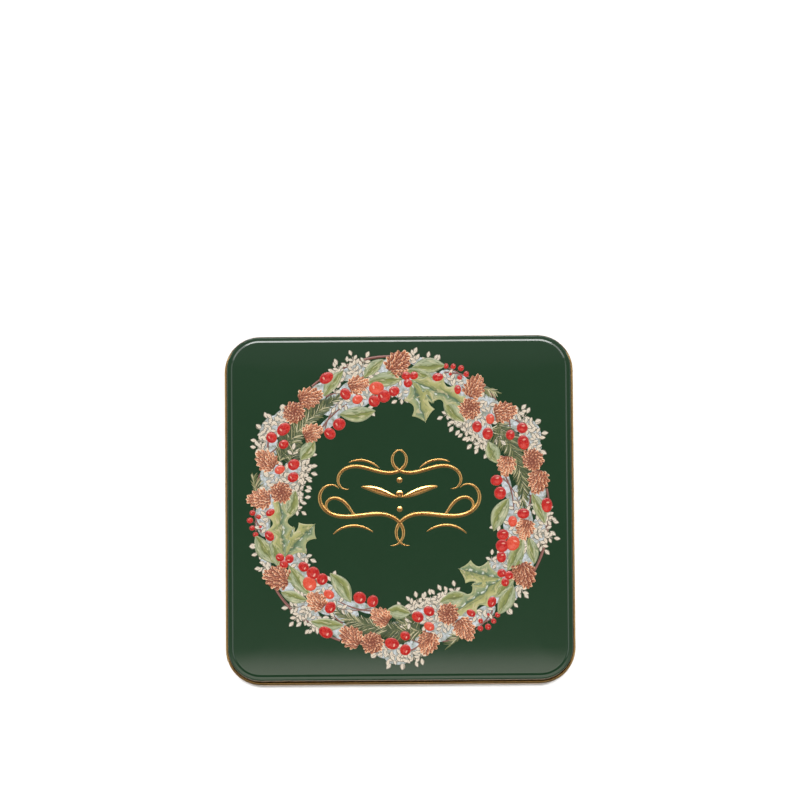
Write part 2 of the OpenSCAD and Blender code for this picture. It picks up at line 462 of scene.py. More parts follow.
def square_ring(half, radius, z, per_corner=14):
    """Points round a square with round corners, counterclockwise."""
    points = []
    for corner in range(4):
        for step in range(per_corner + 1):
            angle = math.pi / 2 * (corner + step / per_corner)
            centre = Vector((half - radius, half - radius, 0))
            centre.rotate(Matrix.Rotation(math.pi / 2 * corner, 3, "Z"))
            points.append(centre + Vector((radius * math.cos(angle), radius * math.sin(angle), z)))
    return points


def swept(rings, first_cap=True):
    """Points and faces of a skin over rings of points, with a flat cap on the last ring too."""
    count = len(rings[0])
    points = [point for ring in rings for point in ring]
    faces = []
    for start in range(0, (len(rings) - 1) * count, count):
        for i in range(count):
            j = (i + 1) % count
            faces.append((start + i, start + j, start + count + j, start + count + i))
    if first_cap:
        faces.append(tuple(reversed(range(count))))
    faces.append(tuple(range(len(points) - count, len(points))))
    return points, faces


def grid_faces(rows, width, start=0):
    """Faces between rows of points, all of one width, numbered on from start."""
    corners = [start + i * width + j for i in range(rows - 1) for j in range(width - 1)]
    return [(a, a + width, a + width + 1, a + 1) for a in corners]


def thicken(made, thickness, offset):
    """Gives a sheet its thickness, to both sides (offset 0) or behind it (-1)."""
    thick = made.modifiers.new("thickness", "SOLIDIFY")
    thick.thickness = thickness
    thick.offset = offset


def arc(centre, radius, start, end, steps):
    """Points (x, z) on an arc, from start to end in degrees."""
    angles = [math.radians(start + (end - start) * i / steps) for i in range(steps + 1)]
    return [(centre[0] + radius * math.cos(a), centre[1] + radius * math.sin(a)) for a in angles]


# ---- Lid ----

# Where the panel has rings of points, in mm in from its edge
PANEL_INSETS = (24, 17, 13.5, 10.5, 8, 5.5, 3.5, 2, 1, 0.4)
PANEL_R = 1 * MM  # the least corner radius of its rings
STEP_RINGS = 8
GREEN_DOWN = 0.5 * MM  # how far the green print runs down the skirt
HEM_START = 4 * MM  # the skirt's lowest straight ring, above the hem's centre


def panel_height(inset):
    """Height of the lid's panel at a distance in from its edge."""
    return PANEL_Z - PANEL_DROP * max(0.0, 1 - inset / PANEL_ROLL) ** 2


def panel_z(x, y):
    """Height of the lid's panel over a place on it."""
    return panel_height(SKIRT - STEP_IN - STEP_W / 2 - max(abs(x), abs(y)))


def lid_profile():
    """Points (x out from the skirt, z) of the lid's green top, of its gold skirt and hem, and of
    its inside."""
    edge = -STEP_IN - STEP_W / 2
    drop = LEDGE_Z - panel_height(0)
    top = [(edge - inset * MM, panel_height(inset * MM)) for inset in PANEL_INSETS]
    for i in range(STEP_RINGS + 1):
        share = i / STEP_RINGS
        ease = share * share * (3 - 2 * share)
        top.append((edge + STEP_W * share, panel_height(0) + drop * ease))
    shoulder = (-SHOULDER_R, LEDGE_Z - SHOULDER_R)
    curl = (HEM_R - SHEET / 2, LID_LOW.z + HEM_R + SHEET / 2)
    green = top + arc(shoulder, SHOULDER_R, 90, 0, 12)
    gold = [(0, shoulder[1] - GREEN_DOWN), (0, curl[1] + HEM_START)]
    gold += arc(curl, HEM_R + SHEET / 2, 180, 450, 26)
    inside = arc(curl, HEM_R - SHEET / 2, 450, 180, 26)
    inside += arc(shoulder, SHOULDER_R - SHEET, 0, 90, 8)
    inside += [(x, z - SHEET) for x, z in reversed(top)]
    return green, gold, inside


def make_lid(green, gold, inside):
    parts = lid_profile()
    rings = []
    for x, z in parts[0] + parts[1] + parts[2]:
        rings.append(square_ring(SKIRT + x, max(CORNER_R + x, PANEL_R), z))
    points, faces = swept(rings)
    lid = mesh_object("lid_shell", points, faces, (green, gold, inside), "lid")
    lid.data.flip_normals()  # the profile runs outward over the top, which leaves them inward
    first_gold = len(parts[0]) * len(rings[0])
    first_inside = first_gold + len(parts[1]) * len(rings[0])
    for face in lid.data.polygons[first_gold:]:
        face.material_index = 1 if face.index < first_inside else 2
    lid.data.polygons[-2].material_index = 0  # the flat cap in the middle of the panel
    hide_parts("lid")


# ---- Relief on the lid. From here to the tray, all lengths are in mm ----

LID_CENTRE = Matrix.Identity(4)
WREATH_UP = 1.4  # the wreath's centre above the lid's centre

# Heights of the wreath's layers above the panel
WASH, TWIG, NEEDLE, SPRIG = 0.05, 0.12, 0.16, 0.22
LEAF, HOLLY, CONE, BERRY = 0.31, 0.36, 0.42, 0.48
SLOPE = 0.14  # how far a shape's side leans out
SINK = 0.03  # how far its foot is under the panel's surface
LEAST = 0.02  # half the width of the sharpest leaf tip


def moved(place, x, y=0.0, turn=0.0):
    """A place moved along its own axes and then turned, by turn in radians."""
    return place @ Matrix.Translation((x * MM, y * MM, 0)) @ Matrix.Rotation(turn, 4, "Z")


class Relief:
    """Gathers many small raised shapes of one material into one mesh on the lid."""

    def __init__(self, seed):
        self.points, self.faces, self.paint, self.tints = [], [], [], []
        self.random = random.Random(seed)

    def add(self, rows, tint):
        """Adds one shape. Each row is a list of (spot, height, along, across), and all rows are
        as wide. A height of None is just under the panel's surface."""
        tint = self.random.random() if tint is None else tint
        self.faces += grid_faces(len(rows), len(rows[0]), start=len(self.points))
        for row in rows:
            for spot, height, along, across in row:
                spot.z = panel_z(spot.x, spot.y) + (-SINK if height is None else height) * MM
                self.points.append(spot)
                self.paint.append((along, across))
                self.tints.append(tint)

    def strip(self, path, half_width, layer, rise, across=4, slope=SLOPE, tint=None):
        """A shape along a path of places. half_width and rise are functions: half_width(u) for
        u from 0 to 1 along it, and rise(u, v) for v from -1 to 1 across it."""
        rows = []
        for i, middle in enumerate(path):
            u = i / (len(path) - 1)
            half = half_width(u)
            profile = [(-half - slope, None, -0.1)]
            for j in range(across + 1):
                v = 2 * j / across - 1
                profile.append((half * v, layer + rise(u, v), (v + 1) / 2))
            profile.append((half + slope, None, 1.1))
            rows.append([
                (middle @ Vector((0, y * MM, 0)), height, u, side) for y, height, side in profile
            ])
        self.add(rows, tint)

    def blade(self, place, length, half_width, layer, rise,
              rows=8, across=4, bend=0.0, tint=None):
        """A strip along the place's x, with the place at its middle, bent sideways."""
        path = []
        for i in range(rows + 1):
            x = i / rows - 0.5
            path.append(moved(place, x * length, bend * (1 - 4 * x * x)))
        self.strip(path, half_width, layer, rise, across, tint=tint)

    def dome(self, place, radius_x, radius_y, layer, rise, rings=5, around=20, tint=None):
        """A round raised shape with its paint coordinates across it."""
        rows = []
        for i in range(rings + 2):
            foot = i > rings
            share = min(i / rings, 1)
            lean, reach = (SLOPE, 1.1) if foot else (0, share)
            height = None if foot else layer + rise * (1 - share * share)
            row = []
            for j in range(around + 1):
                angle = 2 * math.pi * j / around
                x, y = math.cos(angle), math.sin(angle)
                spot = Vector((x * (radius_x * share + lean), y * (radius_y * share + lean), 0))
                row.append((place @ (spot * MM), height, 0.5 + reach * x / 2, 0.5 + reach * y / 2))
            rows.append(row)
        self.add(rows, tint)

    def build(self, name, material, slot="green_print"):
        made = mesh_object(name, self.points, self.faces, (material,), "lid")
        paint = made.data.uv_layers.new(name="paint")
        for loop in made.data.loops:
            paint.data[loop.index].uv = self.paint[loop.vertex_index]
        tint = made.data.attributes.new("tint", "FLOAT", "POINT")
        tint.data.foreach_set("value", self.tints)
        tidy(made.data)


def tidy(mesh):
    """Merges doubled points and turns the faces outward, which is never downward."""
    merge, downward = 0.002 * MM, -0.2
    work = bmesh.new()
    work.from_mesh(mesh)
    bmesh.ops.remove_doubles(work, verts=work.verts, dist=merge)
    bmesh.ops.recalc_face_normals(work, faces=work.faces)
    down = [face for face in work.faces if face.normal.z < downward]
    bmesh.ops.reverse_faces(work, faces=down)
    work.to_mesh(mesh)
    work.free()


def at_ring(third, angle, radius, turn=0.0):
    """A place on the wreath: degrees clockwise from its top, mm from its centre, and a turn in
    degrees from the clockwise tangent."""
    centre = moved(LID_CENTRE, 0, WREATH_UP, math.radians(360 / THIRDS * third - angle))
    return moved(centre, 0, radius, math.radians(turn))


def almond(half, full=0.85, least=LEAST):
    """Half width of a leaf pointed at both ends."""
    return lambda u: half * max(math.sin(math.pi * u), 0.0) ** full + least


def pointed(half, fullest, sharp):
    """Half width of a shape that is widest at the share fullest of its length."""
    def width(u):
        u = min(max(u, 0.0), 1.0)
        rise = (u / fullest) ** (fullest * sharp)
        fall = ((1 - u) / (1 - fullest)) ** ((1 - fullest) * sharp)
        return half * rise * fall + LEAST
    return width


def spiky(half, spikes):
    """Half width of a holly leaf: concave bays between sharp spikes, and a thin tip."""
    bay_depth, tip = 0.53, 0.05

    def width(u):
        body = max(math.sin(math.pi * min(u * 1.04, 1.0)), 0.0) ** 0.6
        bay = math.sin(math.pi * (u * spikes % 1.0)) ** 0.7
        return half * body * (1 - bay_depth * bay) + tip
    return width


def rib_rise(height, groove=0.4):
    """A leaf's cross-section: full on both sides and grooved along the middle."""
    def rise(u, v):
        lobe = (1 - v * v) - groove * math.exp(-(v / 0.22) ** 2)
        return height * lobe * math.sin(math.pi * min(max(u, 0.06), 0.94)) ** 0.5
    return rise


def round_rise(height):
    """A plain arched cross-section."""
    return lambda u, v: height * (1 - v * v)


# Leaves of one third: (angle, radius, length, width, turn, bend)
LEAVES = [
    (12.2, 78.4, 18.2, 8.5, 15, 0.6), (91.9, 76.6, 18.2, 7, 25, 0.8),
    (95.9, 56.2, 20, 8.5, -19, -1.0), (113.5, 69.2, 20, 8, -2, 0.8),
    (109.5, 77, 15, 6.5, 32, 0.5), (30.3, 60.2, 17, 8, -18, -0.6),
    (61, 59, 13, 8, -7, 0), (9, 73.5, 15, 6.5, -8, 0.4),
    (119, 74, 13, 6, 20, 0.5),
]
# Holly leaves: (angle, radius, length, width, turn, bend, spikes, holly leaves under it)
HOLLY_LEAVES = [
    (13.5, 64, 15, 9, -40, 0, 2, 0),
    (10.8, 58.3, 25, 18.5, -62, 0.8, 2.6, 1),
    (20.6, 65.7, 35, 17, -5, 1.0, 4.6, 2),
]
# Pine cones: (angle, radius, half length, half width, turn of the tip). A round one has no turn.
CONES = [
    (-0.3, 78.5, 7.3, 6.8, 50), (32.8, 77.2, 6.6, 5.6, 97),
    (36.4, 65.8, 6.3, 6.3, None), (48.8, 77.6, 6.3, 5.7, 63),
    (71.6, 77.6, 6.5, 6.3, None), (80.6, 77.6, 6.7, 5.8, -20),
    (70, 62.8, 5.4, 5.0, -25), (101.2, 70.4, 5.5, 4.9, 0),
]
# Berries: (angle, radius, half width, half height, turn, tint). A tint over 0.75 is a light one.
BERRIES = [
    (3.2, 71.7, 2.4, 2.3, 0, 0.2), (6.7, 72.1, 2.4, 2.2, 30, 0.1),
    (4.3, 67.6, 2.3, 2.4, 60, 0.3), (17, 73.8, 3.0, 2.3, 20, 0.1),
    (27, 71.4, 1.9, 2.6, 25, 0.3), (46.8, 69.0, 2.3, 2.9, 47, 0.9),
    (45.0, 60.8, 2.6, 3.1, 45, 0.2), (51.3, 62.6, 2.9, 3.3, 51, 0.1),
    (58.0, 72.3, 2.4, 2.8, 58, 0.2), (58.2, 80.0, 3.0, 2.9, 58, 0.3),
    (63.6, 76.6, 3.1, 4.0, 75, 0.4), (76.1, 55.2, 3.3, 2.9, 86, 0.1),
    (83.6, 55.8, 3.2, 3.5, 84, 0.2), (90.5, 81.1, 3.0, 4.0, 90, 0.3),
    (94.4, 68.3, 3.3, 2.8, 94, 0.2), (98.7, 62.9, 2.4, 3.0, 99, 0.9),
    (106.6, 59.2, 3.2, 3.0, 107, 0.2), (112.2, 60.8, 3.4, 3.5, 112, 0.1),
    (117.6, 63.0, 2.6, 3.0, 118, 0.5), (109.2, 66.0, 3.6, 4.1, 90, 0.8),
]
# Small berries on a twig: (angle, radius, radius of the berry)
TWIG_BERRIES = [
    (18.8, 81.1, 1.3), (21.5, 82.3, 1.3), (24.5, 83.0, 1.5),
    (27.3, 81.3, 1.4), (25.6, 77.9, 1.3), (21.5, 77.9, 0.9),
]
# Sprigs of small leaves: (angle, radius of the root, turn, pairs of leaflets)
SPRIGS = [
    (4.5, 78.5, 70, 2), (7, 80, 118, 1), (11, 79.5, 84, 1), (13, 79.5, 70, 1),
    (15, 79, 88, 1), (20.5, 74, 80, 1), (22, 74.5, 20, 1), (24, 72, 40, 1),
    (38, 71, 100, 1), (40, 69, 60, 2), (42, 74, -10, 1), (43, 68, -50, 1),
    (51, 79, 60, 2), (52.5, 82, 96, 1), (56, 81, 110, 2), (57.5, 82, 70, 2),
    (59.5, 81.3, 90, 2), (61.5, 82.5, 58, 2), (63, 80, 20, 2), (64, 82, 76, 1),
    (66, 79.5, 40, 2), (67.5, 76, 60, 2), (62, 79, 170, 1), (69.5, 79, 70, 1),
    (93, 78, 118, 1), (94, 81, 60, 1), (96, 79, 84, 2), (97.5, 76, 130, 2),
    (99.5, 81, 70, 1), (100, 76, 60, 2), (103, 81, 96, 2), (103, 75, 110, 2),
    (105, 79, 50, 2), (106, 74, 20, 2), (109, 73, 60, 1), (105, 67.5, 200, 1),
    (106, 70, 100, 1), (90, 66, 200, 1), (92.5, 66.5, -100, 1), (90, 71.5, 30, 1),
    (101, 65, -100, 1), (104, 62.5, -20, 1), (101.5, 57, -62, 1), (118.5, 66, -110, 1),
    (1, 65, 150, 1), (1.5, 63, -60, 1), (2, 59.5, -150, 1), (29.5, 59.5, -118, 2),
    (32, 58, -95, 1), (34, 58.5, -84, 2), (37, 60, -110, 1), (38.5, 59, -84, 2),
    (41, 62, -120, 2), (42.5, 58.5, -96, 2), (45, 57.5, -78, 1), (47.5, 59, -104, 2),
    (49.5, 58, -84, 2), (52, 59, -70, 2), (54.5, 61, -96, 2), (57, 61.5, -60, 2),
    (40.5, 65, 0, 1), (47, 65, 60, 1), (55, 65, 20, 1),
]
# Twigs: (start angle, start radius, end angle, end radius, width)
TWIGS = [
    (98, 82.2, 117, 82.6, 1.7), (84, 81.6, 98, 82.0, 1.1),
    (50.5, 76.5, 56, 80.5, 1.4), (19, 77.5, 29, 80.5, 0.9),
    (20, 80.5, 27, 78.8, 0.6), (23, 78.6, 24.5, 82.4, 0.5),
    (52, 77.0, 60, 70.0, 0.9), (73, 60.0, 93, 63.0, 0.9),
    (76, 59.0, 90, 66.0, 0.7), (86, 72.5, 93, 70.0, 0.8),
    (33, 79.5, 43, 79.0, 1.0), (28, 74.0, 34, 71.0, 0.6),
    (68, 81.0, 74, 83.0, 1.2), (104, 75.5, 106, 82.0, 0.7),
]
# Patches of wash: (angle, radius, length, width)
WASHES = [
    (3, 64, 15, 11), (9, 80, 14, 5), (12, 71, 18, 12), (24, 76, 18, 8),
    (33, 67, 18, 15), (43, 62, 24, 12), (42, 73, 18, 12), (53, 78, 16, 9),
    (61, 82.5, 16, 11), (66, 81, 12, 8), (80, 60, 16, 5), (85, 76.5, 14, 9),
    (90, 66, 22, 12), (99, 66, 22, 16), (101, 78, 16, 9), (112, 70, 14, 17),
    (116, 78, 11, 6),
]
# Sprays of needles along the ring: (start angle, end angle, radius, needle length, pairs to the
# degree, lean from the stem, drift outward, lowest tint). A low tint is a dark needle.
SPRAYS = [
    (50, 90, 70.6, 8.0, 2.8, 44, -2.6, 0),
    (53, 84, 69.4, 6.4, 2.0, 62, -1.8, 0),
    (34, 40, 78, 6.5, 2.4, 34, 4.5, 0.5),
    (50, 60, 64.5, 7, 2.4, 66, 1.5, 0),
]
# Dark shapes behind the needles: (angle, radius, length, width)
FIR_SHADES = [(60, 69, 22, 12), (76, 69, 26, 10), (38, 78.5, 10, 4)]


def wreath_layer(seed, name, material, shapes, draw):
    """One material's part of the wreath: every shape of a list, drawn on each third."""
    relief = Relief(seed)
    for third in range(THIRDS):
        for shape in shapes:
            draw(relief, third, *shape)
    relief.build(name, material)


def wash(relief, third, angle, radius, length, width):
    relief.dome(at_ring(third, angle, radius), length / 2, width / 2, WASH, 0.05,
                rings=3, around=28)


def twig(relief, third, start, start_r, end, end_r, width, steps=8):
    """A twig thinner toward its end and bowed outward by half a millimetre."""
    path = []
    for i in range(steps + 1):
        share = i / steps
        radius = start_r + (end_r - start_r) * share + 0.5 * math.sin(math.pi * share)
        path.append(at_ring(third, start + (end - start) * share, radius))
    relief.strip(path, lambda u: width / 2 * (1.1 - 0.4 * u), TWIG, round_rise(0.12),
                 across=2, slope=SLOPE / 2)


def fir_spray(relief, third, start, end, radius, needle, density, lean, drift, darkest):
    """Needles on both sides of a stem that follows the ring from one angle to another."""
    vary = relief.random.uniform
    count = int(abs(end - start) * density)
    for i in range(count):
        share = i / count
        angle = start + (end - start) * share
        for side in (-1, 1):
            length = needle * vary(0.75, 1.1) * (1 - 0.35 * share ** 3)
            turn = side * lean * vary(0.75, 1.2) * (1 - 0.5 * share)
            root = at_ring(third, angle + vary(-0.3, 0.3), radius + drift * share, turn)
            layer = NEEDLE + vary(0, 0.16)
            relief.blade(moved(root, length / 2), length, almond(0.17, 0.5), layer,
                         round_rise(0.05), rows=4, across=2, bend=side * -0.35,
                         tint=vary(darkest, 1))


def fir_shade(relief, third, angle, radius, length, width):
    relief.blade(at_ring(third, angle, radius), length, almond(width / 2, 0.6), TWIG,
                 round_rise(0.04), bend=1.2)


def leaf(relief, third, angle, radius, length, width, turn, bend):
    relief.blade(at_ring(third, angle, radius, turn), length, almond(width / 2), LEAF,
                 rib_rise(0.3), rows=16, across=8, bend=bend)


def holly_leaf(relief, third, angle, radius, length, width, turn, bend, spikes, under):
    relief.blade(at_ring(third, angle, radius, turn), length, spiky(width / 2, spikes),
                 HOLLY + 0.03 * under, rib_rise(0.32, 0.5), rows=48, across=10, bend=bend)


def sprig(relief, third, angle, radius, turn, pairs):
    """Pairs of leaflets on a stem, each pair a little smaller, and one leaflet at its end."""
    root = at_ring(third, angle, radius, turn)
    first, pitch = 0.6, 2.5
    for pair in range(pairs):
        for side in (-1, 1):
            lean = side * relief.random.uniform(46, 66)
            leaflet(relief, root, first + pitch * pair, lean, 3.3 - 0.25 * pair)
    leaflet(relief, root, first + pitch * pairs, relief.random.uniform(-10, 10), 3.4)
    relief.blade(moved(root, 1.3 * pairs), 2.8 * pairs, lambda u: 0.12, SPRIG, round_rise(0),
                 rows=1, across=1)


def leaflet(relief, root, along, turn, length):
    """A small leaf that stands out from a sprig's stem, or ends it."""
    length *= relief.random.uniform(1.0, 1.2)
    layer = SPRIG + relief.random.uniform(0, 0.13)
    stalk = moved(root, along, turn=math.radians(turn))
    relief.blade(moved(stalk, length / 2 + 0.3), length, almond(0.31 * length, 1.1), layer,
                 round_rise(0.03), across=6)


def make_cones(scale_material, heart_material):
    """Each cone is a low dark dome, its heart, with its scales standing out of it."""
    scales, hearts = Relief(8), Relief(9)
    for third in range(THIRDS):
        for angle, radius, half_x, half_y, turn in CONES:
            place = at_ring(third, angle, radius, turn or 0)
            hearts.dome(place, 0.9 * half_x, 0.9 * half_y, CONE, 0.45, around=24)
            cone = round_cone if turn is None else long_cone
            cone(scales, place, half_x, half_y)
    scales.build("wreath_cone_scales", scale_material)
    hearts.build("wreath_cone_hearts", heart_material)


def cone_scale(relief, place, x, y, turn, size, height):
    """One scale with its middle at (x, y), pointing along turn, a little out of order."""
    vary = relief.random.uniform
    spot = moved(place, x, y, turn + vary(-0.22, 0.22))
    size *= vary(0.85, 1.2)
    outline = pointed(size * vary(0.22, 0.3), 0.6, 1.3)
    relief.blade(spot, size, outline, CONE + height + vary(0, 0.06),
                 lambda u, v: 0.2 * u * (1 - 0.5 * v * v), rows=6)


def round_cone(relief, place, half_x, half_y, count=46):
    """A cone seen from its end: scales in a sunflower spiral, small in the middle."""
    golden, spread = math.radians(137.5), 0.88
    for i in range(count, 0, -1):
        share = math.sqrt((i - 0.5) / count)
        x = spread * share * half_x * math.cos(golden * i)
        y = spread * share * half_y * math.sin(golden * i)
        height = 0.5 * (1 - share * share) + 0.08
        cone_scale(relief, place, x, y, golden * i, 1.1 + 1.3 * share, height)


def long_cone(relief, place, half_x, half_y, rows=9):
    """A cone seen from its side: rows of scales that fan out and point to its tip."""
    for row in range(rows):
        along = -0.86 + 1.7 * row / (rows - 1)
        span = math.sqrt(1 - min(abs(along + 0.1), 0.9) ** 2) * (0.98 - 0.12 * along)
        count = max(3, round(6.6 * span))
        shift = 0.5 if row % 2 else -0.5
        for i in range(count):
            side = (2 * i + 1 + shift) / count - 1
            turn = side * math.radians(70 - 26 * along)
            x = half_x * (along + 0.14 * (1 - side * side))
            y = 0.96 * half_y * span * side
            height = 0.5 * (1 - side * side) * (1 - along * along) + 0.06 + 0.01 * row
            cone_scale(relief, place, x, y, turn, 2.5, height)


def make_berries(material):
    relief = Relief(10)
    for third in range(THIRDS):
        for number, (angle, radius, half_x, half_y, turn, tint) in enumerate(BERRIES):
            layer = BERRY + 0.03 * (number % 3)
            relief.dome(at_ring(third, angle, radius, turn), half_x, half_y, layer, 0.6,
                        rings=7, around=28, tint=tint)
        for angle, radius, size in TWIG_BERRIES:
            relief.dome(at_ring(third, angle, radius), size, 1.1 * size, SPRIG, 0.35,
                        rings=4, around=18, tint=0.4)
    relief.build("wreath_berries", material)


# ---- Scroll in the middle of the lid ----

# Strokes of the right half: middle (x, y), heading there, length, curl at either end, width.
# Headings are in degrees. Curl is in degrees per mm, and changes evenly.
STROKES = [
    (23, -4.5, -6, 84, -10.5, 11.5, 2.2),
    (15, 21, 16, 64, 14, -14, 2.0),
    (32.5, 4.5, 28, 28, 6, -20, 1.7),
    (11, 9, 20, 21, 2, -3, 3.4),
    (26, -10, -2, 24, -3, -4, 1.4),
    (19, 26, 12, 18, -3, -5, 1.3),
]
# Dots down the middle: (y, radius)
DOTS = [(15, 1.5), (7.4, 1.9), (-1, 1.5)]
STROKE = 0.05  # how far a stroke's edge stands above the panel
STROKE_RISE = 0.5  # how far its middle stands above its edge, where it is broad
STROKE_SLOPE = 0.12


def stroke_path(x, y, heading, length, curl_in, curl_out, steps=30):
    """Places along a stroke, worked out both ways from its middle."""
    ends = []
    for way in (-1, 1):
        spot, angle, path = Vector((x, y)), math.radians(heading), []
        step = way * length / steps / 2
        for i in range(steps + 1):
            share = 0.5 + way * 0.5 * i / steps
            path.append(moved(LID_CENTRE, spot.x, spot.y, angle))
            spot += step * Vector((math.cos(angle), math.sin(angle)))
            angle += step * math.radians(curl_in + (curl_out - curl_in) * share)
        ends.append(path)
    return ends[0][::-1] + ends[1][1:]


def pen_stroke(relief, path, width):
    """A stroke that swells to its width and is higher where it is broader."""
    half_width = almond(width / 2, 0.55, least=0.04)

    def rise(u, v):
        return STROKE_RISE * (1 - v * v) * min(1, half_width(u))

    relief.strip(path, half_width, STROKE, rise, across=8, slope=STROKE_SLOPE)


def make_scroll(material):
    """A symmetrical ornament of pen strokes, raised from the panel."""
    relief = Relief(11)
    for half in (LID_CENTRE, Matrix.Scale(-1, 4, (1, 0, 0))):
        for *stroke, width in STROKES:
            pen_stroke(relief, [half @ place for place in stroke_path(*stroke)], width)
    for y, radius in DOTS:
        relief.dome(moved(LID_CENTRE, 0, y), radius, radius, STROKE, STROKE_RISE)
    relief.build("lid_scroll", material, "gold_lacquer")


# ---- Tray and liner ----

TRAY_WALL = 0.5 * MM
LIP_DROP = 4.6 * MM  # how far the tray's rim turns down
LIP_R = 14 * MM
RIM_W = 4.2 * MM  # from the tray's side to a cup
RIB_W = 3.2 * MM  # between two cups
MOUTH_R = 1.6 * MM  # the rounding from the tray's top into a cup
FOOT_R = 4 * MM  # the rounding round a cup's floor
CUP_R = 9 * MM
CUP_LEAST_R = 3 * MM  # the least corner radius of its rings
CUP_DRAFT = 1.1 * MM  # how much narrower a cup is at its floor, on each side
CUP_STEPS = 10
CUP_RAISED = 0.8 * MM  # how far the middle of its floor is raised
# From its wall in to where its floor starts to rise, where it has risen, and its last ring
FLOOR_RINGS = (12 * MM, 20 * MM, 23 * MM)

PAPER = 0.45 * MM
PAPER_R = 13 * MM
PAPER_CELLS = 120
PAPER_TOP = 0.7 * MM  # its flat top, above the underside of the CAD liner
PILLOW = 9 * MM  # pitch of the pillows that it is pressed into
PILLOW_UP = 0.85 * MM
PILLOW_EDGE = 3 * MM  # how far in from the paper's edge they are full


def cup_profile(top, floor):
    """A cup's wall from its mouth to the raised middle of its floor: (x out from the wall, z)."""
    mouth = arc((0, top - MOUTH_R), MOUTH_R, 90, 180, 6)
    foot_x = mouth[-1][0] - CUP_DRAFT
    foot = arc((foot_x - FOOT_R, floor + FOOT_R), FOOT_R, 0, -90, 7)
    start, risen, last = FLOOR_RINGS
    raised = floor + CUP_RAISED
    return mouth + foot + [(-start, floor), (-risen, raised), (-last, raised)]


def quarter_edge(side, z):
    """The outline of a quarter of the tray, with the tray's middle at the origin. Only its outer
    corner is round."""
    near, far = LIP_R, side - LIP_R
    points = []
    for corner, hub in enumerate(((far, far), (near, far), (near, near), (far, near))):
        for step in range(CUP_STEPS + 1):
            angle = math.pi / 2 * (corner + step / CUP_STEPS)
            x, y = math.cos(angle), math.sin(angle)
            reach = LIP_R if corner == 0 else LIP_R / max(abs(x), abs(y))
            points.append(Vector((hub[0] + reach * x, hub[1] + reach * y, z)))
    return points


def make_tray(material):
    """The moulded tray: one quarter as a sheet, mirrored twice and given its thickness."""
    side = TRAY_HIGH.x - TRAY_WALL / 2
    top, floor = TRAY_HIGH.z - TRAY_WALL / 2, TRAY_LOW.z + TRAY_WALL / 2
    low, high = RIB_W / 2, side - RIM_W
    middle, half = (low + high) / 2, (high - low) / 2
    edge = quarter_edge(side, top)
    hem = [Vector((point.x, point.y, top - LIP_DROP)) for point in edge]
    rings = [hem, edge]
    for x, z in cup_profile(top, floor):
        ring = square_ring(half + x, max(CUP_R + x, CUP_LEAST_R), z, CUP_STEPS)
        rings.append([point + Vector((middle, middle, 0)) for point in ring])
    points, faces = swept(rings, first_cap=False)
    tiny = 0.001 * MM  # the rim turns down round the tray, and not along its mirror planes
    faces = [
        face for face in faces
        if max(points[i].x for i in face) > tiny and max(points[i].y for i in face) > tiny
    ]
    tray = mesh_object("tray_moulding", points, faces, (material,), "tray")
    mirror = tray.modifiers.new("mirror", "MIRROR")
    mirror.use_axis = (True, True, False)
    mirror.merge_threshold = 0.05 * MM
    thicken(tray, TRAY_WALL, 0)
    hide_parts("inner_tray")


def paper_point(x, y):
    """A point of the liner: drawn in at its round corners, and up where it has a pillow."""
    half = LINER_HIGH.x
    past = Vector((abs(x) - (half - PAPER_R), abs(y) - (half - PAPER_R)))
    if min(past) > 0:
        past *= max(past) / past.length
        x = math.copysign(half - PAPER_R + past.x, x)
        y = math.copysign(half - PAPER_R + past.y, y)
    a, b = (x + y) / PILLOW, (x - y) / PILLOW
    pillow = abs(math.sin(math.pi * a) * math.sin(math.pi * b)) ** 0.9
    edge = min(half - abs(x), half - abs(y), PILLOW_EDGE) / PILLOW_EDGE
    return Vector((x, y, LINER_LOW.z + PAPER_TOP + PILLOW_UP * pillow * max(edge, 0)))


def make_liner(material):
    """The paper liner: a sheet pressed into small pillows."""
    side = 2 * LINER_HIGH.x
    places = [side * (i / PAPER_CELLS - 0.5) for i in range(PAPER_CELLS + 1)]
    points = [paper_point(x, y) for x in places for y in places]
    faces = grid_faces(len(places), len(places))
    liner = mesh_object("liner_sheet", points, faces, (material,), "liner")
    thicken(liner, PAPER, -1)
    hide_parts("paper_liner")


# ---- Camera, lights and floor ----

SENSOR = 36  # the camera's own millimetres, as its lens is
CAMERA_AWAY = 3.0
VIEW_WIDTH = 0.442  # width of what the picture shows, at the lid
VIEW_MIDDLE = Vector((0.0006, 0.0595, PANEL_Z))
CAMERA_Y = -0.21
CAMERA_ROLL = math.radians(-0.42)
LID_MIDDLE = (0, 0, 0.06)


def make_camera():
    """Looks down on the lid from the side that was nearest the floor in the display pose."""
    data = bpy.data.cameras.new("camera")
    data.sensor_width = SENSOR
    data.lens = SENSOR * CAMERA_AWAY / VIEW_WIDTH
    camera = add_object("camera", data)
    tilt = math.asin((VIEW_MIDDLE.y - CAMERA_Y) / CAMERA_AWAY)
    camera.location = VIEW_MIDDLE + CAMERA_AWAY * Vector((0, -math.sin(tilt), math.cos(tilt)))
    camera.rotation_mode = "QUATERNION"
    turned = Matrix.Rotation(tilt, 3, "X") @ Matrix.Rotation(CAMERA_ROLL, 3, "Z")
    camera.rotation_quaternion = turned.to_quaternion()
    bpy.context.scene.camera = camera


def aim(light, direction):
    """Points a light along a direction."""
    light.rotation_mode = "QUATERNION"
    light.rotation_quaternion = Vector(direction).to_track_quat("-Z", "Y")


def card(name, place, size, watts, target=LID_MIDDLE, colour=(1, 1, 1)):
    """A light that only shows in reflections."""
    data = bpy.data.lights.new(name, "AREA")
    data.shape = "RECTANGLE"
    data.size, data.size_y = size
    data.energy = watts
    data.color = colour
    light = add_object(name, data)
    light.location = place
    aim(light, Vector(target) - Vector(place))
    light.visible_camera = False
    light.visible_diffuse = False


